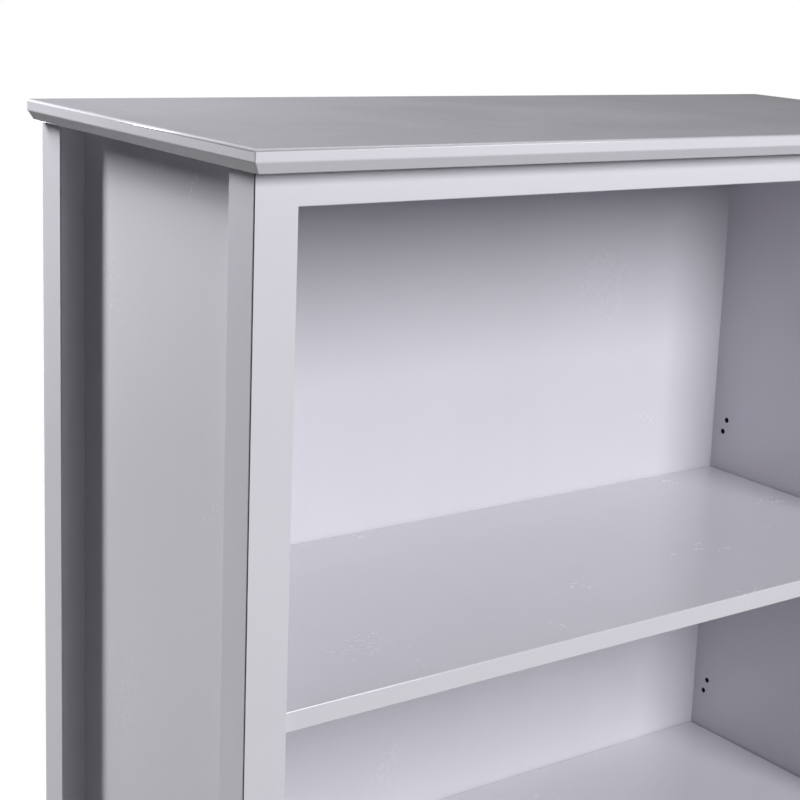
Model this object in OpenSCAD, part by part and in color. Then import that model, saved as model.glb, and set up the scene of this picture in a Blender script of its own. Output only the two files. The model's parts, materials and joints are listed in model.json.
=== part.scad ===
// Open bookcase in painted wood: a chamfered top board, recessed sides between square corner
// stiles, a fixed base shelf, and two lift-off shelves that rest on two-peg supports.
// Millimetres. X runs to the right, Y to the back, Z up. The origin is on the floor,
// under the centre of the top board.

/* [Overall] */
// Width of the top board
top_w = 914; // [600:1:1400]
// Depth of the top board
top_d = 400; // [300:1:560]
// Height from the floor to the upper face of the top board
case_h = 1219; // [1000:1:1900]

/* [Top board] */
// Thickness of the top board
top_t = 19; // [14:0.5:32]
// Height of the upright band along the top board's edge
edge_band = 10; // [4:0.5:13]
// How far the chamfer under the band runs inwards
edge_inset = 6.5; // [1:0.5:12]
// Overhang of the top board past each side
side_overhang = 14; // [8:1:40]
// Overhang of the top board past the front
front_overhang = 25; // [8:1:60]

/* [Corner stiles] */
// Thickness of the stiles and of the front rails
frame_t = 23; // [16:0.5:32]
// Width of the stiles seen from the side
side_stile_w = 38; // [32:1:70]
// Size of the small groove along the mitred front corner
quirk = 1; // [0.5:0.1:3]

/* [Rails] */
// Height of the front rail under the top board
top_rail_h = 28; // [24:1:90]
// Height of the front rail under the base shelf's upper face
base_rail_h = 66; // [45:1:90]
// Thickness of the two rear rails
rear_rail_t = 13; // [12:0.5:18]
// Height of the two rear rails
rear_rail_h = 60; // [40:1:90]
// Gap between the rear rails' rear faces and the case's rear plane
rear_rail_setback = 3; // [2.5:0.5:8]

/* [Side and back boards] */
// Thickness of the side boards
side_t = 15; // [12:0.5:22]
// Thickness of the back board
back_t = 6; // [3:0.5:10]
// Depth of the grooves that hold the back board
groove_d = 5; // [2:0.5:7]

/* [Shelves] */
// Thickness of the shelves
shelf_t = 18; // [12:0.5:28]
// Distance from the top board's upper face to the upper shelf's upper face
upper_drop = 452; // [200:1:640]
// Height of the base shelf's upper face above the floor
base_z = 95; // [95:1:160]
// Distance from the case's front face back to the loose shelves' front edges
shelf_setback = 4; // [2:1:60]
// Gap between a loose shelf's ends and the side boards
shelf_end_gap = 1; // [0.5:0.1:4]
// Gap between a loose shelf's rear edge and the back board
shelf_rear_gap = 1; // [0.5:0.1:10]
// Gap between a loose shelf's underside and its supports
seat_gap = 0.3; // [0.3:0.1:1]

/* [Shelf supports] */
// Radius of the pegs
peg_r = 3.15; // [2:0.05:4]
// Length of the pegs inside the side board
peg_len = 8.5; // [5:0.5:9]
// Radial clearance between a peg and its hole
peg_gap = 0.05; // [0.02:0.01:0.1]
// Upright distance between the two pegs of a support
peg_rise = 15; // [10:0.5:20]
// How much further back the lower peg sits
peg_shift = 5; // [0:0.5:8]
// Distance from a support's ledge down to the middle of its pegs
ledge_drop = 14; // [13:0.5:30]
// Distance from a loose shelf's upper face up to the middle of the free pair of holes
free_rise = 55; // [30:1:90]
// Distance from the back board to the middle of the rear pairs of holes
rear_pair_inset = 20; // [14:1:60]
// Distance from the front of the side boards to the middle of the front pairs of holes
front_pair_inset = 40; // [16:1:90]
// Width of a support
support_w = 17; // [14:0.5:26]
// Height of a support
support_h = 28; // [26:0.5:50]
// Length of a support's ledge
ledge_len = 16; // [10:0.5:30]
// Metal thickness of a support
support_t = 2; // [1:0.5:3]

/* [Cleats and feet] */
// Side of the square cleats
cleat = 19; // [14:1:26]
// Height of the glides under the feet
glide_h = 5; // [3:0.5:10]
// Radius of the glides
glide_r = 9; // [6:0.5:11]
// Length of the glides' pins inside the wood
glide_pin_len = 14; // [8:1:25]
// Radius of the glides' pins
glide_pin_r = 1.25; // [0.8:0.05:2]
// Height of the gap between the floor and the case, between the feet
foot_gap = 29; // [20:1:60]

/* [Joinery] */
// Radius of the dowels in the rails' ends
dowel_r = 3; // [2:0.5:4]
// Length of the dowels
dowel_len = 24; // [16:1:26]
// Radial clearance round a dowel, filled with glue
dowel_gap = 0.05; // [0.02:0.01:0.2]
// Radius of the screws' shanks
screw_r = 2; // [1.5:0.1:2.5]
// Radius of the screws' heads
screw_head_r = 4; // [3:0.1:5]
// Thickness of a screw's head
screw_head_h = 2.5; // [1.5:0.1:4]
// Length of the screws past the cleat
screw_grip = 11; // [8:0.5:12]
// Number of screws along each cleat in each direction
cleat_screws_n = 3; // [2:1:6]

/* [Tether plates] */
// Distance between the two tether plates
tether_spacing = 500; // [200:1:540]
// Width of a tether plate
tether_w = 20; // [16:1:40]
// Metal thickness of a tether plate
tether_t = 2; // [1.5:0.1:2.4]
// Length of a tether plate over the rail
tether_lap = 26; // [22:1:38]
// Length of a tether plate below the rail
tether_tab = 16; // [12:1:40]
// Radius of a tether plate's eye
tether_eye_r = 3; // [2:0.1:4]
// Radius of a tether screw's shank
tether_screw_r = 1.5; // [1:0.1:2]
// Radius of a tether screw's low head
tether_head_r = 3; // [2.4:0.1:4]
// Height of a tether screw's low head
tether_head_h = 0.8; // [0.4:0.1:1]

/* [Hidden] */

left = -1;
right = 1;
paint = [0.83, 0.83, 0.87];
inner_paint = [0.80, 0.80, 0.84];
raw_wood = [0.80, 0.66, 0.48];
steel = [0.62, 0.62, 0.64];
nylon = [0.90, 0.90, 0.88];

// a cut that opens a face runs past it by this much
past = 1;
// a blind hole is deeper than what sits in it by this much
hole_spare = 1;
round_fn = 48;

// planes across the width, on the right-hand half
case_x = top_w / 2 - side_overhang;
board_x = case_x - frame_t;
wall_x = board_x - side_t;

// planes along the depth
rear_y = top_d / 2;
front_y = -top_d / 2 + front_overhang;
board_front_y = front_y + frame_t;
rail_rear_y = rear_y - rear_rail_setback;
rail_front_y = rail_rear_y - rear_rail_t;
back_y = rail_front_y - back_t;

// heights
under_top = case_h - top_t;
upper_z = case_h - upper_drop;
lower_z = (upper_z + base_z) / 2;
shelf_tops = [upper_z, lower_z];
base_under = base_z - shelf_t;
ledge_below = shelf_t + seat_gap;

// pairs of peg holes
pair_ys = [board_front_y + front_pair_inset, back_y - rear_pair_inset];
pair_zs = [for (z = shelf_tops) each [z - ledge_below - ledge_drop, z + free_rise]];
peg_offsets = [[-peg_shift / 2, peg_rise / 2], [peg_shift / 2, -peg_rise / 2]];

// feet and their glides
glide_x = case_x - frame_t / 2;
glide_ys = [front_y + side_stile_w - glide_r - past, rear_y - side_stile_w / 2];

// dowels: pairs one above the other in each rail's ends
front_dowel_y = front_y + frame_t / 2;
rear_dowel_y = (rail_front_y + rail_rear_y) / 2;
function pair_of(low, height) = [low + height / 4, low + height * 3 / 4];
front_dowel_zs = concat(pair_of(under_top - top_rail_h, top_rail_h), pair_of(base_z - base_rail_h, base_rail_h));
rear_dowel_zs = concat(pair_of(under_top - rear_rail_h, rear_rail_h), pair_of(foot_gap, rear_rail_h));

// cleats and their screws
cleat_y0 = board_front_y + past;
cleat_len = back_y - past - cleat_y0;
cleat_step = cleat_len / cleat_screws_n;
side_screw_ys = [for (i = [0 : cleat_screws_n - 1]) cleat_y0 + cleat_step * (i + 0.3)];
up_screw_ys = [for (i = [0 : cleat_screws_n - 1]) cleat_y0 + cleat_step * (i + 0.7)];
top_cleat_z = under_top - cleat;
base_cleat_z = base_under - cleat;

// tether plates
tether_xs = [-tether_spacing / 2, tether_spacing / 2];
tether_screw_ups = [tether_tab + tether_lap / 4, tether_tab + tether_lap * 3 / 4];
tether_screw_len = rear_rail_t - hole_spare;
tether_bottom = under_top - rear_rail_h - tether_tab;
tether_eye_z = tether_bottom + tether_tab / 2;

module on_side(side) {
    if (side == left) mirror([1, 0, 0]) children();
    else children();
}

module both_sides() {
    for (side = [left, right]) on_side(side) children();
}

// a board between two corners
module board(low, high) {
    translate(low) cube(high - low);
}

// an upright piece of any outline, from z0 to z1
module upright(outline, z0, z1) {
    translate([0, 0, z0]) linear_extrude(z1 - z0) polygon(outline);
}

// a round bar from a point along +X or +Z
module bar_x(start, r, len) {
    translate(start) rotate([0, 90, 0]) cylinder(r = r, h = len, $fn = round_fn);
}

module bar_z(start, r, len) {
    translate(start) cylinder(r = r, h = len, $fn = round_fn);
}

// a wood screw: a flat countersunk head at the start, the shank beyond it
module screw(len) {
    cylinder(r1 = screw_head_r, r2 = screw_r, h = screw_head_h, $fn = round_fn);
    cylinder(r = screw_r, h = len, $fn = round_fn);
}

// along +X, out through the cleats into the side boards
module side_screw(y, z) {
    translate([wall_x - cleat, y, z]) rotate([0, 90, 0]) screw(cleat + screw_grip);
}

// along +Z, up through the cleats into the boards above them
module up_screw(y, cleat_z) {
    translate([wall_x - cleat / 2, y, cleat_z]) screw(cleat + screw_grip);
}

module side_screws(cleat_z) {
    for (y = side_screw_ys) side_screw(y, cleat_z + cleat / 2);
}

module up_screws(cleat_z) {
    for (y = up_screw_ys) up_screw(y, cleat_z);
}

module frame_dowel(y, z, gap = 0) {
    bar_x([wall_x - dowel_len / 2 - gap, y, z], dowel_r + gap, dowel_len + 2 * gap);
}

module front_dowels(gap = 0) {
    for (z = front_dowel_zs) frame_dowel(front_dowel_y, z, gap);
}

module rear_dowels(gap = 0) {
    for (z = rear_dowel_zs) frame_dowel(rear_dowel_y, z, gap);
}

module glide_pin(y) {
    bar_z([glide_x, y, glide_h], glide_pin_r, glide_pin_len);
}

// top board: the lower half of its front and side edges is cut away at a slant
module top_board() {
    chamfer_h = top_t - edge_band;
    cut = [[0, 0], [edge_inset, 0], [0, chamfer_h]];
    color(paint) difference() {
        board([-top_w / 2, -top_d / 2, under_top], [top_w / 2, rear_y, case_h]);
        both_sides()
            translate([top_w / 2, rear_y + past, under_top])
                rotate([90, 0, 0]) mirror([1, 0, 0])
                    linear_extrude(top_d + 2 * past) polygon(cut);
        translate([-top_w / 2 - past, -top_d / 2, under_top])
            rotate([90, 0, 90]) linear_extrude(top_w + 2 * past) polygon(cut);
        both_sides() up_screws(top_cleat_z);
    }
}

module cleat_bar(side, z) {
    color(raw_wood) on_side(side) difference() {
        board([wall_x - cleat, cleat_y0, z], [wall_x, cleat_y0 + cleat_len, z + cleat]);
        side_screws(z);
        up_screws(z);
    }
}

// side board: grooved for the back board and bored for the shelf supports
module side_board(side) {
    color(inner_paint) on_side(side) difference() {
        board([wall_x, board_front_y, foot_gap], [board_x, rear_y, under_top]);
        board([wall_x - past, back_y, foot_gap - past], [wall_x + groove_d, rail_front_y, under_top + past]);
        for (y = pair_ys, z = pair_zs, at = peg_offsets)
            bar_x([wall_x - past, y + at[0], z + at[1]], peg_r + peg_gap, past + peg_len + hole_spare);
        rear_dowels(dowel_gap);
        side_screws(top_cleat_z);
        side_screws(base_cleat_z);
    }
}

// front half of a corner, mitred to the side half; a small square groove runs down the corner
module front_stile(side) {
    outline = [
        [wall_x, front_y], [case_x - quirk, front_y], [case_x - quirk, front_y + quirk],
        [board_x, board_front_y], [wall_x, board_front_y]
    ];
    color(paint) on_side(side) difference() {
        upright(outline, glide_h, under_top);
        front_dowels(dowel_gap);
    }
}

module side_front_stile(side) {
    outline = [
        [case_x - quirk, front_y + quirk], [case_x, front_y + quirk], [case_x, front_y + side_stile_w],
        [board_x, front_y + side_stile_w], [board_x, board_front_y]
    ];
    color(paint) on_side(side) difference() {
        upright(outline, glide_h, under_top);
        glide_pin(glide_ys[0]);
    }
}

module side_rear_stile(side) {
    color(paint) on_side(side) difference() {
        board([board_x, rear_y - side_stile_w, glide_h], [case_x, rear_y, under_top]);
        glide_pin(glide_ys[1]);
    }
}

module front_rail(top_z, height) {
    color(paint) difference() {
        board([-wall_x, front_y, top_z - height], [wall_x, board_front_y, top_z]);
        both_sides() front_dowels(dowel_gap);
    }
}

module rear_rail(top_z) {
    color(raw_wood) difference() {
        board([-wall_x, rail_front_y, top_z - rear_rail_h], [wall_x, rail_rear_y, top_z]);
        both_sides() rear_dowels(dowel_gap);
        if (top_z == under_top) tether_shanks();
    }
}

// back board: held in the side boards' grooves, in front of the rear rails
module back_board() {
    reach = wall_x + groove_d - dowel_gap;
    color(inner_paint) board([-reach, back_y, foot_gap], [reach, rail_front_y, under_top]);
}

module base_shelf() {
    color(inner_paint) difference() {
        board([-wall_x, board_front_y, base_under], [wall_x, back_y, base_z]);
        both_sides() up_screws(base_cleat_z);
    }
}

module loose_shelf(top_z) {
    reach = wall_x - shelf_end_gap;
    color(paint)
        board([-reach, front_y + shelf_setback, top_z - shelf_t], [reach, back_y - shelf_rear_gap, top_z]);
}

// shelf support: an angle with two pegs, its ledge just under the shelf
module support(side, pair_y, shelf_top) {
    ledge_z = shelf_top - ledge_below;
    y0 = pair_y - support_w / 2;
    color(steel) on_side(side) union() {
        board([wall_x - support_t, y0, ledge_z - support_h], [wall_x, y0 + support_w, ledge_z]);
        board([wall_x - ledge_len, y0, ledge_z - support_t], [wall_x, y0 + support_w, ledge_z]);
        for (at = peg_offsets)
            bar_x([wall_x - support_t / 2, pair_y + at[0], ledge_z - ledge_drop + at[1]],
                peg_r, support_t / 2 + peg_len);
    }
}

// glide: a nylon button with a rounded rim, nailed into the foot
module foot_glides() {
    rim = glide_h / 3;
    color(nylon) both_sides() for (y = glide_ys) {
        translate([glide_x, y, 0]) {
            cylinder(r1 = glide_r - rim, r2 = glide_r, h = rim, $fn = round_fn);
            translate([0, 0, rim]) cylinder(r = glide_r, h = glide_h - rim, $fn = round_fn);
        }
        glide_pin(y);
    }
}

module frame_dowels() {
    color(raw_wood) both_sides() {
        front_dowels();
        rear_dowels();
    }
}

module cleat_side_screws() {
    color(steel) both_sides() {
        side_screws(top_cleat_z);
        side_screws(base_cleat_z);
    }
}

module cleat_top_screws() {
    color(steel) both_sides() up_screws(top_cleat_z);
}

module base_shelf_screws() {
    color(steel) both_sides() up_screws(base_cleat_z);
}

// tether plates: flat steel on the upper rear rail, with an eye below it for a safety strap
module tether_plates() {
    color(steel) difference() {
        for (x = tether_xs)
            board([x - tether_w / 2, rail_rear_y, tether_bottom],
                [x + tether_w / 2, rail_rear_y + tether_t, tether_bottom + tether_tab + tether_lap]);
        for (x = tether_xs)
            translate([x, rail_rear_y - past, tether_eye_z]) rotate([-90, 0, 0])
                cylinder(r = tether_eye_r, h = tether_t + 2 * past, $fn = round_fn);
        tether_shanks();
    }
}

module at_tether_screws() {
    for (x = tether_xs, up = tether_screw_ups)
        translate([x, rail_rear_y + tether_t, tether_bottom + up]) rotate([90, 0, 0]) children();
}

module tether_shanks() {
    at_tether_screws() cylinder(r = tether_screw_r, h = tether_t + tether_screw_len, $fn = round_fn);
}

module tether_screws() {
    color(steel) at_tether_screws() {
        cylinder(r = tether_screw_r, h = tether_t + tether_screw_len, $fn = round_fn);
        translate([0, 0, -tether_head_h]) cylinder(r = tether_head_r, h = tether_head_h, $fn = round_fn);
    }
}

top_board();
cleat_bar(left, top_cleat_z);  // top_cleat_left
cleat_bar(right, top_cleat_z);  // top_cleat_right
side_board(left);  // side_board_left
side_board(right);  // side_board_right
front_stile(left);  // front_stile_left
front_stile(right);  // front_stile_right
side_front_stile(left);  // side_front_stile_left
side_front_stile(right);  // side_front_stile_right
side_rear_stile(left);  // side_rear_stile_left
side_rear_stile(right);  // side_rear_stile_right
front_rail(under_top, top_rail_h);  // front_top_rail
front_rail(base_z, base_rail_h);  // front_base_rail
rear_rail(under_top);  // rear_top_rail
rear_rail(foot_gap + rear_rail_h);  // rear_base_rail
back_board();
base_shelf();
cleat_bar(left, base_cleat_z);  // base_cleat_left
cleat_bar(right, base_cleat_z);  // base_cleat_right
loose_shelf(upper_z);  // upper_shelf
loose_shelf(lower_z);  // lower_shelf
support(left, pair_ys[0], upper_z);  // support_upper_front_left
support(right, pair_ys[0], upper_z);  // support_upper_front_right
support(left, pair_ys[1], upper_z);  // support_upper_rear_left
support(right, pair_ys[1], upper_z);  // support_upper_rear_right
support(left, pair_ys[0], lower_z);  // support_lower_front_left
support(right, pair_ys[0], lower_z);  // support_lower_front_right
support(left, pair_ys[1], lower_z);  // support_lower_rear_left
support(right, pair_ys[1], lower_z);  // support_lower_rear_right
foot_glides();
frame_dowels();
cleat_side_screws();
cleat_top_screws();
base_shelf_screws();
tether_plates();
tether_screws();
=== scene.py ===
"""An open, painted bookcase: eased boards with a satin paint film, bare wood and metal behind it.

Metres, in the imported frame. Every wooden piece is a copy of its own solid with its arrises eased.
Shelf supports, screws, dowels and glides are grown by Geometry Nodes and made plain meshes.
"""
import json
import math

import bmesh
import bpy
from mathutils import Matrix, Vector


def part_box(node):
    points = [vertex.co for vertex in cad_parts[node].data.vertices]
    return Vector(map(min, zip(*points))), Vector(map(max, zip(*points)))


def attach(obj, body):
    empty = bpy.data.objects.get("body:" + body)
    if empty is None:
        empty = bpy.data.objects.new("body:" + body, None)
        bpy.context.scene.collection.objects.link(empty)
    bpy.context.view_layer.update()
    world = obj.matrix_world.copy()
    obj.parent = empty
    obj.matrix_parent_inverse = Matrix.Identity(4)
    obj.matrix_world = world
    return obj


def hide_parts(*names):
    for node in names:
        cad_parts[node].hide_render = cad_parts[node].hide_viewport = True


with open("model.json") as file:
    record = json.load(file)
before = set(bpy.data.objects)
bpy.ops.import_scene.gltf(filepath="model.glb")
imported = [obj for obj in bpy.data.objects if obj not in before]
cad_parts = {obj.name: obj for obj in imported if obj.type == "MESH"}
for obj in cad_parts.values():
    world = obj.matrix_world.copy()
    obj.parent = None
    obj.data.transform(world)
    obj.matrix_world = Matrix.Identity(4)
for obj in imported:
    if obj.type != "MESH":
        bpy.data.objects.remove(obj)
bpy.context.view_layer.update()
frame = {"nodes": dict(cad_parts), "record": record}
BODY_NODES = frame["record"]["behaviour"]["bodies"]
BODY_OF = {node: body for body, nodes in BODY_NODES.items() for node in nodes}
SIDES = ("left", "right")

MM = 0.001
WELD = 0.005 * MM
ON_PLANE = 0.05 * MM
TURNED_STEP = 0.02 * MM
GROOVE = 1.3 * MM
FLAT_AREA = 100 * MM * MM

# how far the arrises of each kind of piece are eased
TOP_ROUND = 2.4 * MM
TOP_CHAMFER_EASE = 0.8 * MM
FRAME_EASE = 0.9 * MM
GROOVE_EASE = 0.2 * MM
SIDE_EASE = 0.4 * MM
BACK_EASE = 0.3 * MM
SHELF_EASE = 1.1 * MM
REAR_RAIL_EASE = 0.6 * MM
CLEAT_EASE = 0.8 * MM
PLATE_EASE = 0.4 * MM
SHARPEST_FLAT = math.radians(1)
SHARPEST_EASED = math.radians(20)
SHARP_IN_SHADING = math.radians(35)

# planes that several pieces share, read off the solids; WALL is the inner side of the case
RAIL_LOW, RAIL_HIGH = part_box("front_top_rail")
FRONT = RAIL_LOW.y
OPENING_TOP = RAIL_LOW.z
OPENING_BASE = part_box("front_base_rail")[1].z
WALL = RAIL_HIGH.x


# ---------------------------------------------------------------- node helpers

def place(tree, kind, inputs=None, **settings):
    """Adds a node, gives it its settings, and sets or links its inputs by name or number."""
    made = tree.nodes.new(kind)
    for name, value in settings.items():
        setattr(made, name, value)
    for name, value in (inputs or {}).items():
        feed(tree, made.inputs[name], value)
    return made


def feed(tree, socket, value):
    if isinstance(value, bpy.types.NodeSocket):
        tree.links.new(value, socket)
    else:
        socket.default_value = value


def sums(tree, operation, first, second=0.0, third=0.0):
    made = place(tree, "ShaderNodeMath", {0: first, 1: second, 2: third}, operation=operation)
    return made.outputs[0]


def stretched(tree, where, along):
    return place(tree, "ShaderNodeVectorMath", {0: where, 1: along}, operation="MULTIPLY").outputs[0]


def open_group(name, kind, inputs, outputs):
    """A node group with named sockets: inputs are (name, type, value), outputs are (name, type)."""
    tree = bpy.data.node_groups.new(name, kind)
    for label, socket_type, value in inputs:
        socket = tree.interface.new_socket(label, in_out="INPUT", socket_type="NodeSocket" + socket_type)
        if value is not None:
            socket.default_value = value
    for label, socket_type in outputs:
        tree.interface.new_socket(label, in_out="OUTPUT", socket_type="NodeSocket" + socket_type)
    taken = tree.nodes.new("NodeGroupInput").outputs
    given = tree.nodes.new("NodeGroupOutput").inputs
    return tree, taken, given


# ---------------------------------------------------------------- surface effects shared by finishes

def make_paint_film():
    """Roller stipple, fine drag along the board and slow changes of tone in a coat of paint."""
    tree, taken, given = open_group(
        "paint_film", "ShaderNodeTree",
        [("Place", "Vector", None), ("Along", "Vector", None),
         ("Stipple Size", "Float", 0.0045), ("Drag Size", "Float", 0.0022)],
        [("Tone", "Float"), ("Sheen", "Float"), ("Height", "Float")])
    fine = sums(tree, "DIVIDE", 1.0, taken["Stipple Size"])
    stipple = place(tree, "ShaderNodeTexNoise",
                    {"Vector": taken["Place"], "Scale": fine, "Detail": 1.0, "Roughness": 0.4})
    drag = place(tree, "ShaderNodeTexNoise",
                 {"Vector": taken["Along"], "Scale": sums(tree, "DIVIDE", 1.0, taken["Drag Size"]),
                  "Detail": 1.0, "Roughness": 0.5})
    clouds = place(tree, "ShaderNodeTexNoise",
                   {"Vector": taken["Place"], "Scale": 7.0, "Detail": 3.0, "Roughness": 0.55})
    bands = place(tree, "ShaderNodeTexNoise",
                  {"Vector": taken["Along"], "Scale": 38.0, "Detail": 2.0, "Roughness": 0.5})
    height = sums(tree, "MULTIPLY_ADD", drag.outputs[0], 0.35, stipple.outputs[0])
    tone = sums(tree, "MULTIPLY_ADD", bands.outputs[0], 0.35, clouds.outputs[0])
    sheen = sums(tree, "MULTIPLY_ADD", stipple.outputs[0], 0.4, clouds.outputs[0])
    tree.links.new(height, given["Height"])
    tree.links.new(sums(tree, "MULTIPLY", tone, 0.74), given["Tone"])
    tree.links.new(sums(tree, "MULTIPLY", sheen, 0.71), given["Sheen"])
    return tree


def make_edge_rub():
    """Where hands and cloths have thinned a finish: along the arrises, broken up by noise."""
    tree, taken, given = open_group(
        "edge_rub", "ShaderNodeTree",
        [("Place", "Vector", None), ("Arris", "Float", 0.0),
         ("Patch Size", "Float", 0.03), ("Amount", "Float", 0.5)],
        [("Mask", "Float")])
    patches = place(tree, "ShaderNodeTexNoise",
                    {"Vector": taken["Place"], "Scale": sums(tree, "DIVIDE", 1.0, taken["Patch Size"]),
                     "Detail": 4.0, "Roughness": 0.6})
    broken = place(tree, "ShaderNodeMapRange",
                   {"Value": patches.outputs[0], "From Min": 0.35, "From Max": 0.62}, clamp=True)
    mask = sums(tree, "MULTIPLY", broken.outputs[0], taken["Arris"])
    tree.links.new(sums(tree, "MULTIPLY", mask, taken["Amount"]), given["Mask"])
    return tree


def make_wood_fibre():
    """Growth rings cut lengthwise, with fine pores along the grain."""
    tree, taken, given = open_group(
        "wood_fibre", "ShaderNodeTree",
        [("Along", "Vector", None), ("Ring Size", "Float", 0.012)],
        [("Rings", "Float"), ("Pores", "Float")])
    per_ring = sums(tree, "DIVIDE", 1.0, taken["Ring Size"])
    rings = place(tree, "ShaderNodeTexNoise",
                  {"Vector": taken["Along"], "Scale": per_ring, "Detail": 2.0,
                   "Roughness": 0.45, "Distortion": 0.6})
    folded = sums(tree, "PINGPONG", sums(tree, "MULTIPLY", rings.outputs[0], 7.0), 1.0)
    pores = place(tree, "ShaderNodeTexNoise",
                  {"Vector": taken["Along"], "Scale": sums(tree, "MULTIPLY", per_ring, 14.0),
                   "Detail": 3.0, "Roughness": 0.65})
    tree.links.new(folded, given["Rings"])
    tree.links.new(pores.outputs[0], given["Pores"])
    return tree


def make_fine_scratches():
    """Fine lines left by rolling and tumbling metal, and the cloudy look of its plating."""
    tree, taken, given = open_group(
        "fine_scratches", "ShaderNodeTree",
        [("Place", "Vector", None), ("Line Size", "Float", 0.0004)],
        [("Lines", "Float"), ("Clouds", "Float")])
    drawn = stretched(tree, taken["Place"], (1.0, 0.06, 1.0))
    lines = place(tree, "ShaderNodeTexNoise",
                  {"Vector": drawn, "Scale": sums(tree, "DIVIDE", 1.0, taken["Line Size"]),
                   "Detail": 2.0, "Roughness": 0.6})
    clouds = place(tree, "ShaderNodeTexNoise",
                   {"Vector": taken["Place"], "Scale": 160.0, "Detail": 3.0, "Roughness": 0.6})
    tree.links.new(lines.outputs[0], given["Lines"])
    tree.links.new(clouds.outputs[0], given["Clouds"])
    return tree


PAINT_FILM = make_paint_film()
EDGE_RUB = make_edge_rub()
WOOD_FIBRE = make_wood_fibre()
FINE_SCRATCHES = make_fine_scratches()

PALE_LAVENDER = (0.690, 0.678, 0.735, 1.0)
PALER_LAVENDER = (0.706, 0.694, 0.752, 1.0)
RUBBED_LAVENDER = (0.70, 0.69, 0.725, 1.0)
# painted shade for the small groove down the mitred corner
GROOVE_SHADE_GREY = (0.16, 0.155, 0.175, 1.0)
PALER_GROOVE_SHADE_GREY = (0.20, 0.19, 0.215, 1.0)
PALE_SOFTWOOD = (0.62, 0.44, 0.255, 1.0)
DARKER_SOFTWOOD = (0.50, 0.325, 0.165, 1.0)
# the bare core, made far darker than raw board as painted shade inside the holes
FIBREBOARD_HOLE_SHADE = (0.085, 0.055, 0.034, 1.0)
DARKER_FIBREBOARD_HOLE_SHADE = (0.060, 0.038, 0.024, 1.0)
BRIGHT_NICKEL = (0.62, 0.60, 0.56, 1.0)
DULL_NICKEL = (0.50, 0.485, 0.455, 1.0)
BRIGHT_ZINC = (0.60, 0.61, 0.62, 1.0)
DULL_ZINC = (0.47, 0.485, 0.50, 1.0)
OFF_WHITE = (0.78, 0.77, 0.72, 1.0)
DULL_OFF_WHITE = (0.70, 0.69, 0.64, 1.0)

# how far a pattern is drawn out along a board that lies along X, Y or Z
DRAWN_OUT = 0.035
ALONG_X = (DRAWN_OUT, 1.0, 1.0)
ALONG_Y = (1.0, DRAWN_OUT, 1.0)
ALONG_Z = (1.0, 1.0, DRAWN_OUT)


# ---------------------------------------------------------------- finishes

def open_material(name):
    material = bpy.data.materials.new(name)
    material.use_nodes = True
    tree = material.node_tree
    tree.nodes.clear()
    shader = tree.nodes.new("ShaderNodeBsdfPrincipled")
    place(tree, "ShaderNodeOutputMaterial", {"Surface": shader.outputs[0]})
    where = tree.nodes.new("ShaderNodeTexCoord").outputs["Object"]
    return material, tree, shader, where


def blend_colours(tree, mask, light, dark):
    mixed = place(tree, "ShaderNodeMix", {"Factor": mask}, data_type="RGBA")
    feed(tree, mixed.inputs["A"], light)
    feed(tree, mixed.inputs["B"], dark)
    return mixed.outputs["Result"]


def span(tree, value, low, high, to_low, to_high):
    made = place(tree, "ShaderNodeMapRange",
                 {"Value": value, "From Min": low, "From Max": high, "To Min": to_low, "To Max": to_high},
                 clamp=True)
    return made.outputs[0]


def relief(tree, height, strength, depth):
    return place(tree, "ShaderNodeBump",
                 {"Height": height, "Strength": strength, "Distance": depth}).outputs[0]


def eased_arris(tree):
    """1 along the middle of a rounded arris and 0 on flat faces."""
    return place(tree, "ShaderNodeAttribute", attribute_name="arris").outputs["Fac"]


def satin_paint(name, along, shade=PALE_LAVENDER, high=PALER_LAVENDER):
    """Sprayed and lightly rolled satin paint over smooth board."""
    material, tree, shader, where = open_material(name)
    drawn = stretched(tree, where, along)
    film = place(tree, "ShaderNodeGroup", node_tree=PAINT_FILM)
    fibre = place(tree, "ShaderNodeGroup", node_tree=WOOD_FIBRE)
    rub = place(tree, "ShaderNodeGroup", node_tree=EDGE_RUB)
    feed(tree, film.inputs["Place"], where)
    feed(tree, film.inputs["Along"], drawn)
    feed(tree, fibre.inputs["Along"], drawn)
    fibre.inputs["Ring Size"].default_value = 0.06
    feed(tree, rub.inputs["Place"], where)
    feed(tree, rub.inputs["Arris"], eased_arris(tree))
    tone = span(tree, film.outputs["Tone"], 0.35, 0.65, 0.0, 1.0)
    flat = blend_colours(tree, tone, shade, high)
    rubbed = blend_colours(tree, rub.outputs["Mask"], flat, RUBBED_LAVENDER)
    feed(tree, shader.inputs["Base Color"], rubbed)
    feed(tree, shader.inputs["Roughness"], span(tree, film.outputs["Sheen"], 0.3, 0.7, 0.22, 0.28))
    grain = sums(tree, "MULTIPLY_ADD", fibre.outputs["Pores"], 0.25, film.outputs["Height"])
    feed(tree, shader.inputs["Normal"], relief(tree, grain, 0.03, 0.0002))
    shader.inputs["Coat Weight"].default_value = 0.5
    shader.inputs["Coat Roughness"].default_value = 0.16
    return material


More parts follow.
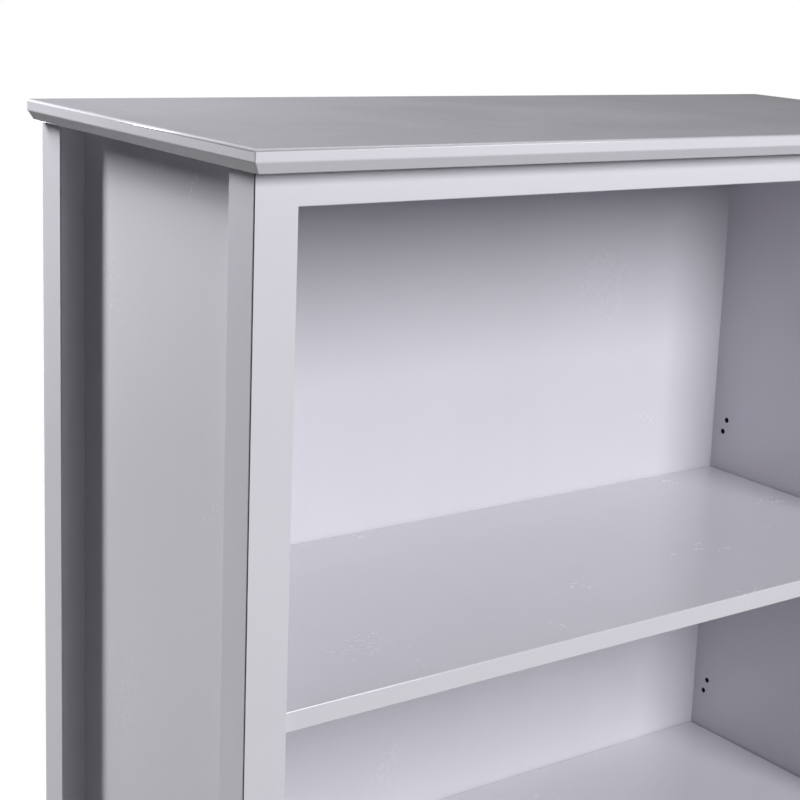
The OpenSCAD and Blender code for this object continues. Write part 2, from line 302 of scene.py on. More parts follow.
def bare_wood(name, along, early=PALE_SOFTWOOD, late=DARKER_SOFTWOOD):
    """Wood or board with no finish."""
    material, tree, shader, where = open_material(name)
    fibre = place(tree, "ShaderNodeGroup", node_tree=WOOD_FIBRE)
    rub = place(tree, "ShaderNodeGroup", node_tree=EDGE_RUB)
    feed(tree, fibre.inputs["Along"], stretched(tree, where, along))
    feed(tree, rub.inputs["Place"], where)
    feed(tree, rub.inputs["Arris"], eased_arris(tree))
    rings = blend_colours(tree, fibre.outputs["Rings"], early, late)
    pored = blend_colours(tree, span(tree, fibre.outputs["Pores"], 0.5, 0.75, 0.0, 0.5), rings,
                          [0.7 * part for part in late[:3]] + [1.0])
    worn = [1.1 * part for part in early[:3]] + [1.0]
    feed(tree, shader.inputs["Base Color"], blend_colours(tree, rub.outputs["Mask"], pored, worn))
    feed(tree, shader.inputs["Roughness"], span(tree, fibre.outputs["Rings"], 0.0, 1.0, 0.62, 0.78))
    feed(tree, shader.inputs["Normal"], relief(tree, fibre.outputs["Pores"], 0.25, 0.0003))
    return material


def plated_steel(name, bright, dull, rough):
    """Pressed steel with a thin plating, cloudy in tone."""
    material, tree, shader, where = open_material(name)
    marks = place(tree, "ShaderNodeGroup", node_tree=FINE_SCRATCHES)
    feed(tree, marks.inputs["Place"], where)
    cloudy = span(tree, marks.outputs["Clouds"], 0.35, 0.65, 0.0, 1.0)
    feed(tree, shader.inputs["Base Color"], blend_colours(tree, cloudy, bright, dull))
    feed(tree, shader.inputs["Roughness"], span(tree, marks.outputs["Lines"], 0.3, 0.7, *rough))
    feed(tree, shader.inputs["Normal"], relief(tree, marks.outputs["Lines"], 0.15, 0.00005))
    shader.inputs["Metallic"].default_value = 1.0
    return material


def nylon(name):
    """Moulded off-white nylon, dulled by the floor."""
    material, tree, shader, where = open_material(name)
    film = place(tree, "ShaderNodeGroup", node_tree=PAINT_FILM)
    feed(tree, film.inputs["Place"], where)
    feed(tree, film.inputs["Along"], where)
    film.inputs["Stipple Size"].default_value = 0.0008
    feed(tree, shader.inputs["Base Color"],
         blend_colours(tree, span(tree, film.outputs["Tone"], 0.35, 0.65, 0.0, 1.0),
                       OFF_WHITE, DULL_OFF_WHITE))
    feed(tree, shader.inputs["Roughness"], span(tree, film.outputs["Sheen"], 0.3, 0.7, 0.4, 0.6))
    feed(tree, shader.inputs["Normal"], relief(tree, film.outputs["Height"], 0.2, 0.0001))
    shader.inputs["Subsurface Weight"].default_value = 0.1
    return material


PAINT_LENGTHWAYS = satin_paint("satin_paint_lengthways", ALONG_X)
PAINT_UPRIGHT = satin_paint("satin_paint_upright", ALONG_Z)
# a dark copy of the paint, painted shade in the corner groove
PAINT_SHADED_GROOVE = satin_paint("satin_paint_groove_shade", ALONG_Z, GROOVE_SHADE_GREY, PALER_GROOVE_SHADE_GREY)
WOOD_LENGTHWAYS = bare_wood("bare_wood_lengthways", ALONG_X)
WOOD_FRONT_TO_BACK = bare_wood("bare_wood_front_to_back", ALONG_Y)
NICKEL = plated_steel("nickel_plate", BRIGHT_NICKEL, DULL_NICKEL, (0.22, 0.38))
ZINC = plated_steel("zinc_plate", BRIGHT_ZINC, DULL_ZINC, (0.30, 0.50))
NYLON = nylon("glide_nylon")
# bare core of the side boards, darkened as painted shade inside the peg and screw holes
CORE_AND_HOLE_SHADE = bare_wood("fibreboard_core_hole_shade", ALONG_Z, FIBREBOARD_HOLE_SHADE, DARKER_FIBREBOARD_HOLE_SHADE)


# ---------------------------------------------------------------- wooden pieces

def link_mesh(name, bm, material):
    mesh = bpy.data.meshes.new(name)
    bm.to_mesh(mesh)
    bm.free()
    mesh.materials.append(material)
    piece = bpy.data.objects.new(name, mesh)
    bpy.context.scene.collection.objects.link(piece)
    return piece


def whole_copy(node):
    """The node's solid as one closed mesh whose flat faces aren't cut into triangles."""
    bm = bmesh.new()
    bm.from_mesh(frame["nodes"][node].data)
    for face in bm.faces:
        face.smooth = False
    bmesh.ops.remove_doubles(bm, verts=bm.verts, dist=WELD)
    bmesh.ops.dissolve_limit(bm, angle_limit=SHARPEST_FLAT, verts=bm.verts, edges=bm.edges)
    return bm


def ease(bm, radius, chosen, steps=4):
    """Rounds the chosen edges between large flat faces, and marks the middle of each rounding."""
    arris = bm.verts.layers.float.get("arris") or bm.verts.layers.float.new("arris")
    edges = [edge for edge in bm.edges
             if len(edge.link_faces) == 2
             and min(face.calc_area() for face in edge.link_faces) > FLAT_AREA
             and edge.calc_face_angle() > SHARPEST_EASED
             and chosen(edge)]
    rounded = bmesh.ops.bevel(bm, geom=edges, offset=radius, offset_type="OFFSET", segments=steps,
                              profile=0.5, affect="EDGES", clamp_overlap=True)
    round_faces = set(rounded["faces"])
    for face in round_faces:
        face.smooth = True
        for vert in face.verts:
            if round_faces.issuperset(vert.link_faces):
                vert[arris] = 1.0


def middle(edge):
    return (edge.verts[0].co + edge.verts[1].co) / 2


def runs(edge, axis):
    """True where the edge runs along that axis, 0, 1 or 2."""
    line = edge.verts[1].co - edge.verts[0].co
    return abs(line[axis]) > 0.99 * line.length


def at(value, plane):
    return abs(value - plane) < ON_PLANE


def any_edge(edge):
    return True


def finish_piece(piece, material_slot, *nodes):
    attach(piece, BODY_OF[nodes[0]])
    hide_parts(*nodes)
    return piece


def eased_board(node, material, radius, chosen=any_edge, material_slot="paint"):
    bm = whole_copy(node)
    ease(bm, radius, chosen)
    return finish_piece(link_mesh(node + "_eased", bm, material), material_slot, node)


def make_top():
    """The upper arris is rounded more than the ones below it."""
    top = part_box("top_board")[1].z
    bm = whole_copy("top_board")
    ease(bm, TOP_ROUND, lambda edge: at(middle(edge).z, top), 6)
    ease(bm, TOP_CHAMFER_EASE, lambda edge: middle(edge).z < top - 2 * TOP_ROUND)
    finish_piece(link_mesh("top_board_eased", bm, PAINT_LENGTHWAYS), "paint", "top_board")


def make_front_stiles():
    """The inner arris is eased only along the opening, so the rails meet the stiles in one flat face."""
    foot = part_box("front_stile_left")[0].z

    def corner_arris(edge):
        return runs(edge, 2) and at(middle(edge).y, FRONT) and not at(abs(middle(edge).x), WALL)

    def opening_arris(edge):
        spot = middle(edge)
        if runs(edge, 2):
            return at(spot.y, FRONT) and at(abs(spot.x), WALL) and OPENING_BASE < spot.z < OPENING_TOP
        return at(spot.z, foot)

    for side in SIDES:
        node = "front_stile_" + side
        bm = whole_copy(node)
        for height in (OPENING_BASE, OPENING_TOP):
            everything = bm.verts[:] + bm.edges[:] + bm.faces[:]
            bmesh.ops.bisect_plane(bm, geom=everything, plane_co=(0, 0, height), plane_no=(0, 0, 1))
        ease(bm, FRAME_EASE, opening_arris)
        ease(bm, GROOVE_EASE, corner_arris, 2)
        # paints shade into the corner groove
        paint_shade_in_groove(finish_piece(link_mesh(node + "_eased", bm, PAINT_UPRIGHT), "paint", node))


def paint_shade_in_groove(piece):
    """Painted shade: the faces of the small groove down the mitred corner get a much darker copy of the
    paint.
    """
    case_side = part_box("side_front_stile_right")[1].x
    piece.data.materials.append(PAINT_SHADED_GROOVE)
    for face in piece.data.polygons:
        corners = [piece.data.vertices[index].co for index in face.vertices]
        if all(abs(co.x) > case_side - GROOVE and co.y < FRONT + GROOVE for co in corners):
            if not face.use_smooth:
                face.material_index = 1


def make_side_stiles():
    """Only the arrises of the outer face are eased, and least beside the groove."""
    def outer_arris(edge, outer):
        return runs(edge, 2) and at(abs(middle(edge).x), outer)

    for side in SIDES:
        for corner in ("front", "rear"):
            node = f"side_{corner}_stile_{side}"
            low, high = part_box(node)
            outer = max(abs(low.x), abs(high.x))
            bm = whole_copy(node)
            if corner == "front":
                ease(bm, GROOVE_EASE,
                     lambda edge: outer_arris(edge, outer) and middle(edge).y < FRONT + GROOVE, 2)
            else:
                ease(bm, FRAME_EASE, lambda edge: outer_arris(edge, outer) and at(middle(edge).y, low.y), 2)
            ease(bm, FRAME_EASE, lambda edge: outer_arris(edge, outer) and at(middle(edge).y, high.y))
            piece = finish_piece(link_mesh(node + "_eased", bm, PAINT_UPRIGHT), "paint", node)
            # paints shade into the corner groove
            if corner == "front":
                paint_shade_in_groove(piece)


def make_front_rails():
    for node in ("front_top_rail", "front_base_rail"):
        eased_board(node, PAINT_LENGTHWAYS, FRAME_EASE,
                    lambda edge: runs(edge, 0) and at(middle(edge).y, FRONT)
                    and middle(edge).z < OPENING_TOP + ON_PLANE)


def make_side_boards():
    """Painted outside, with the board's own core bare in the peg and screw holes, darkened there as painted
    shade.
    """
    for side in SIDES:
        node = "side_board_" + side
        low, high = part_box(node)
        piece = eased_board(node, PAINT_UPRIGHT, SIDE_EASE,
                            lambda edge: at(middle(edge).z, low.z) or at(middle(edge).y, high.y))
        # the near-black core is painted shade in the holes
        piece.data.materials.append(CORE_AND_HOLE_SHADE)
        for face in piece.data.polygons:
            depth = abs(face.center.x) - WALL
            in_a_hole = ON_PLANE < depth < high.x - low.x - ON_PLANE and face.area < FLAT_AREA
            if in_a_hole and not face.use_smooth:
                face.material_index = 1


def make_back_and_base():
    eased_board("back_board", PAINT_UPRIGHT, BACK_EASE)
    eased_board("base_shelf", PAINT_LENGTHWAYS, BACK_EASE,
                lambda edge: runs(edge, 0) and middle(edge).y > 0)


def make_loose_shelves():
    for node in ("upper_shelf", "lower_shelf"):
        eased_board(node, PAINT_LENGTHWAYS, SHELF_EASE)


def make_bare_wood():
    for node in ("rear_top_rail", "rear_base_rail"):
        eased_board(node, WOOD_LENGTHWAYS, REAR_RAIL_EASE, material_slot="bare_wood")
    for side in SIDES:
        for node in ("top_cleat_" + side, "base_cleat_" + side):
            eased_board(node, WOOD_FRONT_TO_BACK, CLEAT_EASE, material_slot="bare_wood")


# ---------------------------------------------------------------- pieces grown by Geometry Nodes

def grow(name, tree, values, start=None):
    """Runs a Geometry Nodes tree with the given named inputs and keeps its result as a plain mesh."""
    mesh = start or bpy.data.meshes.new(name + "_start")
    piece = bpy.data.objects.new(name, mesh)
    bpy.context.scene.collection.objects.link(piece)
    shape = piece.modifiers.new("shape", "NODES")
    shape.node_group = tree
    for socket in tree.interface.items_tree:
        if socket.in_out == "INPUT" and socket.name in values:
            shape[socket.identifier] = values[socket.name]
    grown = bpy.data.meshes.new_from_object(piece.evaluated_get(bpy.context.evaluated_depsgraph_get()))
    piece.modifiers.remove(shape)
    piece.data = grown
    grown.name = name
    turn_faces_out(grown)
    return piece


def turn_faces_out(mesh):
    bm = bmesh.new()
    bm.from_mesh(mesh)
    bmesh.ops.remove_doubles(bm, verts=bm.verts, dist=WELD)
    bmesh.ops.recalc_face_normals(bm, faces=bm.faces)
    bm.to_mesh(mesh)
    bm.free()
    mesh.set_sharp_from_angle(angle=SHARP_IN_SHADING)


def islands(node):
    """The corners of each separate solid in a node, as (points, lowest corner, highest corner)."""
    bm = bmesh.new()
    bm.from_mesh(frame["nodes"][node].data)
    bmesh.ops.remove_doubles(bm, verts=bm.verts, dist=WELD)
    waiting = dict.fromkeys(bm.verts)
    found = []
    while waiting:
        island, edge_of_island = [], [waiting.popitem()[0]]
        while edge_of_island:
            vert = edge_of_island.pop()
            island.append(vert)
            for edge in vert.link_edges:
                other = edge.other_vert(vert)
                if other in waiting:
                    del waiting[other]
                    edge_of_island.append(other)
        points = [vert.co.copy() for vert in island]
        low = Vector([min(point[axis] for point in points) for axis in range(3)])
        high = Vector([max(point[axis] for point in points) for axis in range(3)])
        found.append((points, low, high))
    bm.free()
    return found


def off_axis(step, axis):
    """How far a step leads away from the line along that axis."""
    return math.hypot(*[step[i] for i in range(3) if i != axis])


def heads_and_aims(node):
    """For each long solid in a node: the centre of its wider end, and the way it points from there."""
    found = []
    for points, low, high in islands(node):
        size = high - low
        axis = max(range(3), key=lambda i: size[i])
        centre = (low + high) / 2
        widths = [max(off_axis(point - centre, axis) for point in points if at(point[axis], end))
                  for end in (low[axis], high[axis])]
        aim = Vector((0, 0, 0))
        aim[axis] = 1.0 if widths[0] >= widths[1] else -1.0
        head = centre.copy()
        head[axis] = low[axis] if aim[axis] > 0 else high[axis]
        found.append((head, aim, size[axis], max(widths), min(widths)))
    return found


def points_with_aims(name, heads):
    mesh = bpy.data.meshes.new(name)
    mesh.from_pydata([head[0] for head in heads], [], [])
    aims = mesh.attributes.new("aim", "FLOAT_VECTOR", "POINT")
    for index, head in enumerate(heads):
        aims.data[index].vector = head[1]
    return mesh


def close_tree(tree, given, geometry, material):
    """Turns instances into a real mesh and gives it its finish."""
    real = place(tree, "GeometryNodeRealizeInstances", {0: geometry})
    finished = place(tree, "GeometryNodeSetMaterial", {"Geometry": real.outputs[0], "Material": material})
    tree.links.new(finished.outputs[0], given["Geometry"])


def vector_of(tree, x=0.0, y=0.0, z=0.0):
    return place(tree, "ShaderNodeCombineXYZ", {"X": x, "Y": y, "Z": z}).outputs[0]


def by_index(tree, index, values):
    """A number chosen by the point's place in its line."""
    switch = place(tree, "GeometryNodeIndexSwitch", data_type="FLOAT")
    while len(switch.index_switch_items) < len(values):
        switch.index_switch_items.new()
    feed(tree, switch.inputs[0], index)
    for socket, value in zip(switch.inputs[1:], values):
        feed(tree, socket, value)
    return switch.outputs[0]


def turned(tree, steps, side_count=32):
    """One closed solid of revolution from the origin along +Z, through (height, radius) steps."""
    line = place(tree, "GeometryNodeMeshLine", {"Count": len(steps)})
    path = place(tree, "GeometryNodeMeshToCurve", {0: line.outputs[0]})
    index = place(tree, "GeometryNodeInputIndex").outputs[0]
    heights, radii = (by_index(tree, index, values) for values in zip(*steps))
    spaced = place(tree, "GeometryNodeSetPosition",
                   {"Geometry": path.outputs[0], "Position": vector_of(tree, z=heights)})
    ring = place(tree, "GeometryNodeCurvePrimitiveCircle", {"Resolution": side_count, "Radius": 1.0})
    solid = place(tree, "GeometryNodeCurveToMesh",
                  {"Curve": spaced.outputs[0], "Profile Curve": ring.outputs["Curve"], "Scale": radii,
                   "Fill Caps": True})
    return solid.outputs[0]


def on_every_point(tree, points, shape):
    """Sets the shape on every point, turned so that its +Z follows the point's aim."""
    aim = place(tree, "GeometryNodeInputNamedAttribute", {"Name": "aim"}, data_type="FLOAT_VECTOR")
    turn = place(tree, "FunctionNodeAlignRotationToVector", {"Vector": aim.outputs["Attribute"]}, axis="Z")
    placed = place(tree, "GeometryNodeInstanceOnPoints",
                   {"Points": points, "Instance": shape, "Rotation": turn.outputs[0]})
    return placed.outputs[0]


def screw_tree(name, material):
    """A screw with a cross recess and a blunt point, set on every point."""
    tree, taken, given = open_group(
        name, "GeometryNodeTree",
        [("Geometry", "Geometry", None), ("Length", "Float", 0.03), ("Shank Radius", "Float", 0.002),
         ("Head Radius", "Float", 0.004), ("Head Under Radius", "Float", 0.002),
         ("Head Height", "Float", 0.0025), ("Crown", "Float", 0.0002), ("Recess Depth", "Float", 0.0012)],
        [("Geometry", "Geometry")])
    point_start = sums(tree, "MULTIPLY_ADD", taken["Shank Radius"], -2.5, taken["Length"])
    point_radius = sums(tree, "MULTIPLY", taken["Shank Radius"], 0.2)
    body = turned(tree, [(0.0, sums(tree, "SUBTRACT", taken["Head Radius"], taken["Crown"])),
                         (taken["Crown"], taken["Head Radius"]),
                         (taken["Head Height"], taken["Head Under Radius"]),
                         (sums(tree, "ADD", taken["Head Height"], TURNED_STEP), taken["Shank Radius"]),
                         (point_start, taken["Shank Radius"]),
                         (taken["Length"], point_radius)])
    arm = sums(tree, "MULTIPLY", taken["Head Radius"], 1.1)
    slot_width = sums(tree, "MULTIPLY", taken["Head Radius"], 0.24)
    deep = sums(tree, "MULTIPLY", taken["Recess Depth"], 2.0)
    cross = place(tree, "GeometryNodeMeshBoolean", operation="UNION", solver="EXACT")
    for x, y in ((arm, slot_width), (slot_width, arm)):
        slot = place(tree, "GeometryNodeMeshCube", {"Size": vector_of(tree, x, y, deep)})
        tree.links.new(slot.outputs["Mesh"], cross.inputs["Mesh 2"])
    recessed = place(tree, "GeometryNodeMeshBoolean", {"Mesh 1": body},
                     operation="DIFFERENCE", solver="EXACT")
    tree.links.new(cross.outputs[0], recessed.inputs["Mesh 2"])
    close_tree(tree, given, on_every_point(tree, taken["Geometry"], recessed.outputs[0]), material)
    return tree


def dowel_tree(material):
    """A fluted dowel with chamfered ends, set on every point."""
    tree, taken, given = open_group(
        "fluted_dowel", "GeometryNodeTree",
        [("Geometry", "Geometry", None), ("Length", "Float", 0.024), ("Radius", "Float", 0.003),
         ("Flute Depth", "Float", 0.00025), ("Flutes", "Int", 18), ("End Chamfer", "Float", 0.001)],
        [("Geometry", "Geometry")])
    outline = place(tree, "GeometryNodeCurveStar",
                    {"Points": taken["Flutes"], "Outer Radius": taken["Radius"],
                     "Inner Radius": sums(tree, "SUBTRACT", taken["Radius"], taken["Flute Depth"])})
    path = place(tree, "GeometryNodeCurvePrimitiveLine",
                 {"Start": (0.0, 0.0, 0.0), "End": vector_of(tree, z=taken["Length"])})
    rings = place(tree, "GeometryNodeResampleCurve", {"Curve": path.outputs[0], "Count": 13})
    spot = place(tree, "GeometryNodeSplineParameter").outputs["Length"]
    from_end = sums(tree, "MINIMUM", spot, sums(tree, "SUBTRACT", taken["Length"], spot))
    worn = place(tree, "ShaderNodeMapRange",
                 {"Value": from_end, "From Min": 0.0, "From Max": taken["End Chamfer"],
                  "To Min": 0.8, "To Max": 1.0}, clamp=True)
    sized = place(tree, "GeometryNodeSetCurveRadius", {"Curve": rings.outputs[0], "Radius": worn.outputs[0]})
    rod = place(tree, "GeometryNodeCurveToMesh",
                {"Curve": sized.outputs[0], "Profile Curve": outline.outputs["Curve"],
                 "Scale": worn.outputs[0], "Fill Caps": True})
    close_tree(tree, given, on_every_point(tree, taken["Geometry"], rod.outputs[0]), material)
    return tree


def glide_tree(material):
    """A domed nylon button with a pin, set on every point; the point is the button's lowest middle."""
    tree, taken, given = open_group(
        "foot_glide", "GeometryNodeTree",
        [("Geometry", "Geometry", None), ("Height", "Float", 0.005), ("Radius", "Float", 0.009),
         ("Pin Length", "Float", 0.014), ("Pin Radius", "Float", 0.00125)],
        [("Geometry", "Geometry")])
    rim = sums(tree, "DIVIDE", taken["Height"], 3.0)
    dome_height = sums(tree, "MULTIPLY", rim, 0.4)
    dome_radius = sums(tree, "MULTIPLY_ADD", rim, -0.3, taken["Radius"])
    pin_start = sums(tree, "ADD", taken["Height"], TURNED_STEP)
    pin_end = sums(tree, "ADD", taken["Height"], taken["Pin Length"])
    glide = turned(tree, [(0.0, sums(tree, "SUBTRACT", taken["Radius"], rim)),
                          (dome_height, dome_radius),
                          (rim, taken["Radius"]),
                          (taken["Height"], taken["Radius"]),
                          (pin_start, taken["Pin Radius"]),
                          (pin_end, taken["Pin Radius"])], 48)
    close_tree(tree, given, on_every_point(tree, taken["Geometry"], glide), material)
    return tree


def support_tree(material):
    """A shelf support: a strip bent to an angle, with rounded edges, and two pegs behind it."""
    tree, taken, given = open_group(
        "shelf_support", "GeometryNodeTree",
        [("Side", "Float", 1.0), ("Wall", "Float", 0.4), ("Middle", "Float", 0.0),
         ("Ledge Top", "Float", 0.7), ("Height", "Float", 0.028), ("Ledge Length", "Float", 0.016),
         ("Width", "Float", 0.017), ("Thickness", "Float", 0.002), ("Bend Radius", "Float", 0.0025),
         ("Peg Radius", "Float", 0.00315), ("Peg Length", "Float", 0.0085), ("Peg Middle", "Float", 0.014),
         ("Peg Rise", "Float", 0.015), ("Peg Shift", "Float", 0.005)],
        [("Geometry", "Geometry")])
    half = sums(tree, "MULTIPLY", taken["Thickness"], 0.5)
    plate_out = sums(tree, "SUBTRACT", taken["Wall"], half)
    tip_out = sums(tree, "SUBTRACT", taken["Wall"], taken["Ledge Length"])
    plate_x = sums(tree, "MULTIPLY", taken["Side"], plate_out)
    tip_x = sums(tree, "MULTIPLY", taken["Side"], tip_out)
    ledge_z = sums(tree, "SUBTRACT", taken["Ledge Top"], half)
    foot_z = sums(tree, "SUBTRACT", taken["Ledge Top"], taken["Height"])
    corners = [vector_of(tree, plate_x, taken["Middle"], foot_z),
               vector_of(tree, plate_x, taken["Middle"], ledge_z),
               vector_of(tree, tip_x, taken["Middle"], ledge_z)]
    # a line of three points, with its middle point moved to the bend
    line = place(tree, "GeometryNodeCurvePrimitiveLine", {"Start": corners[0], "End": corners[2]})
    three = place(tree, "GeometryNodeResampleCurve", {"Curve": line.outputs[0], "Count": 3})
    index = place(tree, "GeometryNodeInputIndex").outputs[0]
    is_middle = place(tree, "FunctionNodeCompare", {"A": index, "B": 1}, data_type="INT", operation="EQUAL")
    bent = place(tree, "GeometryNodeSetPosition",
                 {"Geometry": three.outputs[0], "Selection": is_middle.outputs[0], "Position": corners[1]})
    path = place(tree, "GeometryNodeFilletCurve",
                 {"Curve": bent.outputs[0], "Radius": taken["Bend Radius"], "Count": 8}, mode="POLY")
    section = place(tree, "GeometryNodeCurvePrimitiveQuadrilateral",
                    {"Width": taken["Thickness"], "Height": taken["Width"]})
    soft_radius = sums(tree, "MULTIPLY", taken["Thickness"], 0.3)
    soft_section = place(tree, "GeometryNodeFilletCurve",
                         {"Curve": section.outputs[0], "Radius": soft_radius, "Count": 3}, mode="POLY")
    strip = place(tree, "GeometryNodeCurveToMesh",
                  {"Curve": path.outputs[0], "Profile Curve": soft_section.outputs[0], "Fill Caps": True})
    outwards = vector_of(tree, x=taken["Side"])
    aim = place(tree, "FunctionNodeAlignRotationToVector", {"Vector": outwards}, axis="Z")
    peg_total = sums(tree, "ADD", taken["Peg Length"], half)
    nose = sums(tree, "MULTIPLY", taken["Peg Radius"], 0.3)
    peg = turned(tree, [(0.0, taken["Peg Radius"]),
                        (sums(tree, "SUBTRACT", peg_total, nose), taken["Peg Radius"]),
                        (peg_total, sums(tree, "MULTIPLY", taken["Peg Radius"], 0.7))])
    joined = place(tree, "GeometryNodeJoinGeometry")
    tree.links.new(strip.outputs[0], joined.inputs[0])
    centre_z = sums(tree, "SUBTRACT", taken["Ledge Top"], taken["Peg Middle"])
    for up, back in ((0.5, -0.5), (-0.5, 0.5)):
        peg_y = sums(tree, "MULTIPLY_ADD", taken["Peg Shift"], back, taken["Middle"])
        peg_z = sums(tree, "MULTIPLY_ADD", taken["Peg Rise"], up, centre_z)
        set_peg = place(tree, "GeometryNodeTransform",
                        {"Geometry": peg, "Translation": vector_of(tree, plate_x, peg_y, peg_z),
                         "Rotation": aim.outputs[0]})
        tree.links.new(set_peg.outputs[0], joined.inputs[0])
    close_tree(tree, given, joined.outputs[0], material)
    return tree


def make_supports():
    tree = support_tree(NICKEL)
    for level in ("upper", "lower"):
        for depth in ("front", "rear"):
            for side in SIDES:
                node = f"support_{level}_{depth}_{side}"
                low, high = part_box(node)
                values = {"Side": -1.0 if side == "left" else 1.0, "Wall": WALL,
                          "Middle": (low.y + high.y) / 2, "Width": high.y - low.y,
                          "Ledge Top": high.z, "Height": high.z - low.z}
                finish_piece(grow(node + "_bent", tree, values), "support_steel", node)


# the pan heads of the tether screws are lower than the countersunk ones
PAN_HEAD_HEIGHT = 0.8 * MM
PAN_HEAD_RECESS = 0.6 * MM


def make_screws():
    for node in ("cleat_side_screws", "cleat_top_screws", "base_shelf_screws", "tether_screws"):
        heads = heads_and_aims(node)
        tree = screw_tree(node + "_tree", ZINC)
        values = {"Length": heads[0][2], "Head Radius": heads[0][3], "Shank Radius": heads[0][4]}
        if node == "tether_screws":
            values.update({"Head Height": PAN_HEAD_HEIGHT, "Head Under Radius": heads[0][3],
                           "Recess Depth": PAN_HEAD_RECESS})
        finish_piece(grow(node + "_turned", tree, values, points_with_aims(node, heads)), "zinc_steel", node)


def make_dowels():
    heads = heads_and_aims("frame_dowels")
    values = {"Length": heads[0][2], "Radius": heads[0][3]}
    piece = grow("frame_dowels_fluted", dowel_tree(WOOD_LENGTHWAYS), values,
                 points_with_aims("dowels", heads))
    finish_piece(piece, "bare_wood", "frame_dowels")


def make_glides():
    spots = [(Vector(((low.x + high.x) / 2, (low.y + high.y) / 2, low.z)), Vector((0, 0, 1)), high.x - low.x)
             for points, low, high in islands("foot_glides")]
    piece = grow("foot_glides_moulded", glide_tree(NYLON), {"Radius": spots[0][2] / 2},
                 points_with_aims("glides", spots))
    finish_piece(piece, "nylon", "foot_glides")


def make_tether_plates():
    bm = whole_copy("tether_plates")
    ease(bm, PLATE_EASE, any_edge)
    finish_piece(link_mesh("tether_plates_eased", bm, ZINC), "zinc_steel", "tether_plates")


# ---------------------------------------------------------------- floor, light and camera

WHITE = (1.0, 1.0, 1.0, 1.0)
COOL_WHITE = (0.97, 0.975, 1.0, 1.0)
FLOOR_AS_SEEN = (0.92, 0.92, 0.92, 1.0)
FLOOR_AS_LIGHT = (0.27, 0.27, 0.27, 1.0)
FLOOR_REACH = 40.0
FADE_START, FADE_END = 0.75, 1.7
ROOM_FILL = 0.01

CAMERA_PLACE = (-1.0878, -1.2953, 1.3573)
CAMERA_TURN = math.radians(39.43)
CAMERA_TILT = math.radians(11.70)
CAMERA_ROLL = math.radians(-3.02)
CAMERA_SHIFT = (-0.175, -0.0875)
SENSOR_WIDTH, FOCAL_LENGTH = 36.0, 79.2


def make_floor():
    """A plain pale floor that takes a soft shadow and fades to white away from the case."""
    bm = bmesh.new()
    bmesh.ops.create_grid(bm, x_segments=1, y_segments=1, size=FLOOR_REACH)
    material, tree, shader, where = open_material("pale_floor")
    distance = place(tree, "ShaderNodeVectorMath", {0: where}, operation="LENGTH").outputs["Value"]
    away = span(tree, distance, FADE_START, FADE_END, 0.0, 1.0)
    seen = place(tree, "ShaderNodeLightPath").outputs["Is Camera Ray"]
    feed(tree, shader.inputs["Base Color"],
         blend_colours(tree, seen, FLOOR_AS_LIGHT, FLOOR_AS_SEEN))
    shader.inputs["Roughness"].default_value = 0.9
    shader.inputs["Specular IOR Level"].default_value = 0.1
    white = place(tree, "ShaderNodeEmission", {"Color": WHITE, "Strength": 1.0})
    mixed = place(tree, "ShaderNodeMixShader",
                  {0: sums(tree, "MULTIPLY", away, seen), 1: shader.outputs[0], 2: white.outputs[0]})
    output = next(node for node in tree.nodes if node.type == "OUTPUT_MATERIAL")
    tree.links.new(mixed.outputs[0], output.inputs["Surface"])
    link_mesh("floor", bm, material)


def make_world(strength):
    """White behind everything; a weaker, even fill on the object."""
    world = bpy.data.worlds.new("studio")
    world.use_nodes = True
    tree = world.node_tree
    tree.nodes.clear()
    seen = place(tree, "ShaderNodeLightPath").outputs["Is Camera Ray"]
    fill = place(tree, "ShaderNodeBackground", {"Color": COOL_WHITE, "Strength": strength})
    white = place(tree, "ShaderNodeBackground", {"Color": WHITE, "Strength": 1.0})
    mixed = place(tree, "ShaderNodeMixShader", {0: seen, 1: fill.outputs[0], 2: white.outputs[0]})
    place(tree, "ShaderNodeOutputWorld", {"Surface": mixed.outputs[0]})
    bpy.context.scene.world = world


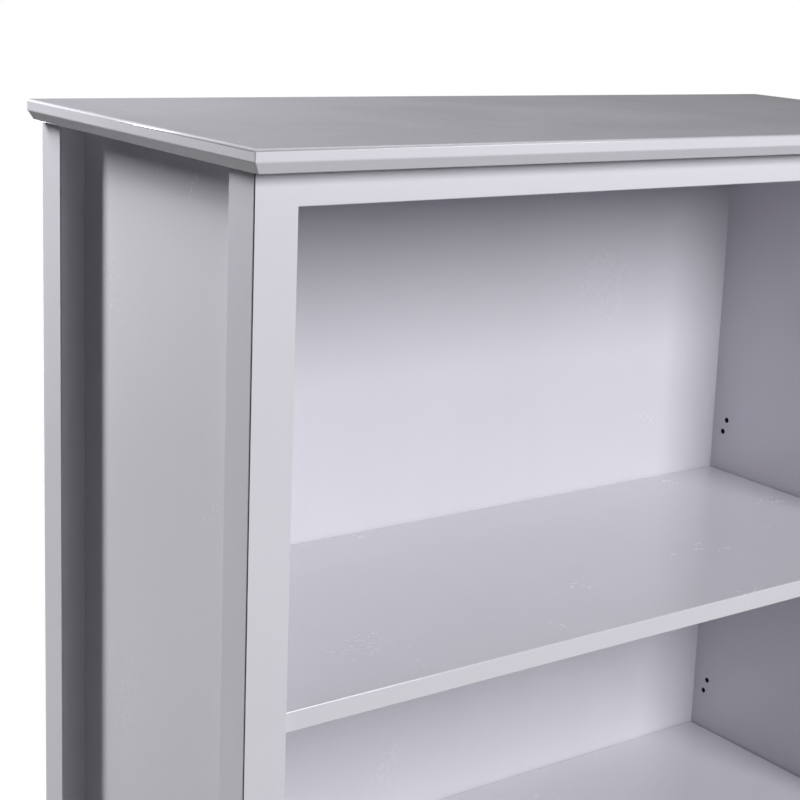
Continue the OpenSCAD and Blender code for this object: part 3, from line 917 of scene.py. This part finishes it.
def softbox(name, aim_point, turn, rise, distance, size, power, in_reflections=True):
    """A soft light aimed at a point; turn is from straight ahead of the case towards its left-hand side."""
    turn, rise = math.radians(turn), math.radians(rise)
    away = Vector((-math.sin(turn) * math.cos(rise), -math.cos(turn) * math.cos(rise), math.sin(rise)))
    lamp = bpy.data.lights.new(name, "AREA")
    lamp.shape = "RECTANGLE"
    lamp.size, lamp.size_y = size
    lamp.energy = power
    lit = bpy.data.objects.new(name, lamp)
    lit.location = Vector(aim_point) + distance * away
    lit.rotation_euler = (-away).to_track_quat("-Z", "Y").to_euler()
    lit.visible_camera = False
    lit.visible_glossy = in_reflections
    bpy.context.scene.collection.objects.link(lit)


def make_lights():
    """A key in front, two strips behind the left side, and low fills for the right side and the rear."""
    make_world(ROOM_FILL)
    softbox("front_key", (0.0, 0.0, 0.85), -10, 26, 3.2, (1.1, 1.3), 98.0)
    softbox("left_strip", (-0.4, 0.0, 1.1), 152, 28, 2.2, (0.24, 0.85), 68.0)
    softbox("near_strip", (-0.45, 0.1, 1.2), 153, 40, 1.3, (0.2, 0.6), 13.0)
    softbox("right_fill", (0.4, 0.0, 0.6), -100, 0, 2.4, (0.9, 1.0), 22.0, in_reflections=False)
    softbox("rear_fill", (0.0, 0.2, 0.6), -170, 0, 2.4, (0.9, 1.0), 18.0)
    bpy.context.scene.view_settings.view_transform = "Standard"


def make_camera():
    """The lens looks down a little on the near end of the top board."""
    flat = math.cos(CAMERA_TILT)
    forward = Vector((math.sin(CAMERA_TURN) * flat, math.cos(CAMERA_TURN) * flat, -math.sin(CAMERA_TILT)))
    level = Vector((math.cos(CAMERA_TURN), -math.sin(CAMERA_TURN), 0.0))
    down = forward.cross(level)
    across = math.cos(CAMERA_ROLL) * level + math.sin(CAMERA_ROLL) * down
    under = math.cos(CAMERA_ROLL) * down - math.sin(CAMERA_ROLL) * level
    lens = bpy.data.cameras.new("camera")
    lens.sensor_width = SENSOR_WIDTH
    lens.lens = FOCAL_LENGTH
    lens.shift_x, lens.shift_y = CAMERA_SHIFT
    lens.clip_start, lens.clip_end = 0.05, 200.0
    camera = bpy.data.objects.new("camera", lens)
    facing = Matrix((across, -under, -forward)).transposed().to_4x4()
    camera.matrix_world = Matrix.Translation(CAMERA_PLACE) @ facing
    bpy.context.scene.collection.objects.link(camera)
    bpy.context.scene.camera = camera


make_camera()
make_floor()
make_lights()
make_top()
make_front_stiles()
make_side_stiles()
make_front_rails()
make_side_boards()
make_back_and_base()
make_loose_shelves()
make_bare_wood()
make_supports()
make_screws()
make_dowels()
make_glides()
make_tether_plates()
